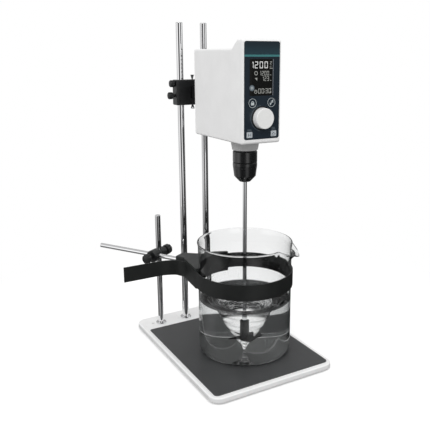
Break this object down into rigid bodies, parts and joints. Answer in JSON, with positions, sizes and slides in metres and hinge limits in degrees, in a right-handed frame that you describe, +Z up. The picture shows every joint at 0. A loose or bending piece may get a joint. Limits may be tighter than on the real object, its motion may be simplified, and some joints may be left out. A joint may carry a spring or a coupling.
{
  "type": "overhead stirrer",
  "caption": "Overhead laboratory stirrer on a rod stand: motor head with display and knob, keyless chuck, propeller shaft in a glass beaker, and a strap clamp round the vessel.",
  "frame": {"origin": "middle of the base plate's underside; the rubber feet reach a little below it", "axes": "+Z up along the rods, -Y towards the operator and the control panel, +X to the operator's right"},
  "size_m": [0.3353, 0.4717, 0.678],
  "materials": {
    "white_enamel": "satin powder coat",
    "mat_rubber": "fine-textured sheet",
    "foot_rubber": "plain",
    "rod_chrome": "polished",
    "steel": "turned and ground",
    "clear_glass": "clear, polished",
    "black_enamel": "satin black",
    "black_plastic": "moulded",
    "white_plastic": "fine satin moulding",
    "panel_navy": "smooth film",
    "window_black": "glossy",
    "key_navy": "smooth film",
    "key_light": "moulded",
    "knob_white": "smooth",
    "neck_grey": "moulded",
    "board_green": "lacquered board",
    "machined_aluminium": "as machined",
    "belt_rubber": "ribbed",
    "strap_rubber": "ribbed strap",
    "clamp_plastic": "moulded",
    "propeller_dark": "moulded"
  },
  "bodies": {
    "stand": {"base_plate": "white_enamel", "rubber_feet": "foot_rubber", "stand_mat": "mat_rubber", "tall_rod_left": "rod_chrome", "tall_rod_right": "rod_chrome", "short_rod": "rod_chrome", "rod_screws": "steel", "rod_flanges": "rod_chrome", "flange_screws": "steel", "beaker": "clear_glass"},
    "carriage": {"carriage_block": "black_enamel", "pivot_pin": "steel"},
    "upper_screw": {"upper_thumb_screw": "black_plastic"},
    "lower_screw": {"lower_thumb_screw": "black_plastic"},
    "head": {"head_housing": "white_plastic", "rear_cover": "white_plastic", "head_arm": "black_enamel", "head_screws": "steel", "power_jack": "black_plastic", "switch_frame": "black_plastic", "panel_overlay": "panel_navy", "display_window": "window_black", "display_module": "black_plastic", "control_board": "board_green", "encoder": "steel", "knob_ring": "black_plastic", "neck_collar": "neck_grey", "bearing_cap": "neck_grey", "neck_flange": "machined_aluminium", "lower_bearing": "steel", "upper_bearing": "steel", "drive_plate": "machined_aluminium", "motor": "machined_aluminium", "drive_belt": "belt_rubber"},
    "rocker": {"switch_rocker": "black_plastic"},
    "lock_button": {"lock_key": "key_navy"},
    "run_button": {"run_key": "key_navy"},
    "left_button": {"left_key": "key_light"},
    "right_button": {"right_key": "key_light"},
    "knob": {"control_knob": "knob_white", "encoder_shaft": "steel"},
    "motor_rotor": {"motor_shaft": "steel", "motor_pulley": "machined_aluminium"},
    "drive_spindle": {"spindle": "steel", "spindle_pulley": "machined_aluminium", "chuck_core": "black_enamel", "sleeve_ring": "steel"},
    "sleeve": {"chuck_sleeve": "black_plastic"},
    "jaw_1": {"chuck_jaw_1": "steel"},
    "jaw_2": {"chuck_jaw_2": "steel"},
    "jaw_3": {"chuck_jaw_3": "steel"},
    "stirrer": {"stirring_shaft": "steel", "propeller": "propeller_dark"},
    "strap_clamp": {"boss_head": "black_enamel", "clamp_rod": "rod_chrome", "jaw_block": "clamp_plastic", "strap": "strap_rubber"},
    "rod_screw": {"rod_thumb_screw": "black_plastic"},
    "post_screw": {"post_thumb_screw": "black_plastic"}
  },
  "joints": [
    {"name": "carriage_slide", "type": "slide", "parent": "stand", "child": "carriage", "axis": [0, 0, 1], "range_m": [-0.008, 0.1]},
    {"name": "upper_screw_turn", "type": "hinge", "parent": "carriage", "child": "upper_screw", "pos_m": [-0.046, 0.153, 0.5495], "axis": [-1, 0, 0], "range_deg": [0, 180]},
    {"name": "lower_screw_turn", "type": "hinge", "parent": "carriage", "child": "lower_screw", "pos_m": [-0.05, 0.153, 0.5245], "axis": [-1, 0, 0], "range_deg": [0, 180]},
    {"name": "head_swivel", "type": "hinge", "parent": "carriage", "child": "head", "pos_m": [0, 0.153, 0.531], "axis": [0, 0, 1], "range_deg": [-12, 12]},
    {"name": "rocker_tilt", "type": "hinge", "parent": "head", "child": "rocker", "pos_m": [0.03, 0.0902, 0.4727], "axis": [1, 0, 0], "range_deg": [-8, 8]},
    {"name": "lock_press", "type": "slide", "parent": "head", "child": "lock_button", "axis": [0, 1, 0], "range_m": [0, 0.0008], "stiffness_N_per_m": 500},
    {"name": "run_press", "type": "slide", "parent": "head", "child": "run_button", "axis": [0, 1, 0], "range_m": [0, 0.0008], "stiffness_N_per_m": 500},
    {"name": "left_press", "type": "slide", "parent": "head", "child": "left_button", "axis": [0, 1, 0], "range_m": [0, 0.0008], "stiffness_N_per_m": 500},
    {"name": "right_press", "type": "slide", "parent": "head", "child": "right_button", "axis": [0, 1, 0], "range_m": [0, 0.0008], "stiffness_N_per_m": 500},
    {"name": "knob_turn", "type": "hinge", "parent": "head", "child": "knob", "pos_m": [0.016, -0.105, 0.496], "axis": [0, -1, 0], "continuous": true},
    {"name": "spindle_spin", "type": "hinge", "parent": "head", "child": "drive_spindle", "pos_m": [0.016, -0.043, 0.42], "axis": [0, 0, 1], "continuous": true},
    {"name": "motor_spin", "type": "hinge", "parent": "head", "child": "motor_rotor", "pos_m": [0.016, 0.041, 0.5], "axis": [0, 0, 1], "continuous": true},
    {"name": "sleeve_turn", "type": "hinge", "parent": "drive_spindle", "child": "sleeve", "pos_m": [0.016, -0.043, 0.39], "axis": [0, 0, 1], "range_deg": [0, 360]},
    {"name": "jaw_1_slide", "type": "slide", "parent": "drive_spindle", "child": "jaw_1", "axis": [0.2079, 0, 0.9781], "range_m": [0, 0.008]},
    {"name": "jaw_2_slide", "type": "slide", "parent": "drive_spindle", "child": "jaw_2", "axis": [-0.104, 0.1801, 0.9781], "range_m": [0, 0.008]},
    {"name": "jaw_3_slide", "type": "slide", "parent": "drive_spindle", "child": "jaw_3", "axis": [-0.104, -0.1801, 0.9781], "range_m": [0, 0.008]},
    {"name": "shaft_slide", "type": "slide", "parent": "drive_spindle", "child": "stirrer", "axis": [0, 0, 1], "range_m": [-0.008, 0.06]},
    {"name": "boss_slide", "type": "slide", "parent": "stand", "child": "strap_clamp", "axis": [0, 0, 1], "range_m": [-0.09, 0.015]},
    {"name": "rod_screw_turn", "type": "hinge", "parent": "strap_clamp", "child": "rod_screw", "pos_m": [-0.10195, 0.14585, 0.1785], "axis": [-0.8482, -0.5297, 0], "range_deg": [0, 180]},
    {"name": "post_screw_turn", "type": "hinge", "parent": "strap_clamp", "child": "post_screw", "pos_m": [-0.10195, 0.14585, 0.1785], "axis": [0.8482, 0.5297, 0], "range_deg": [0, 180]}
  ],
  "couplings": [
    {"joint": "motor_spin", "follows": "spindle_spin", "ratio": 2.6},
    {"joint": "jaw_1_slide", "follows": "sleeve_turn", "m_per_rad": 0.0012732},
    {"joint": "jaw_2_slide", "follows": "sleeve_turn", "m_per_rad": 0.0012732},
    {"joint": "jaw_3_slide", "follows": "sleeve_turn", "m_per_rad": 0.0012732}
  ]
}
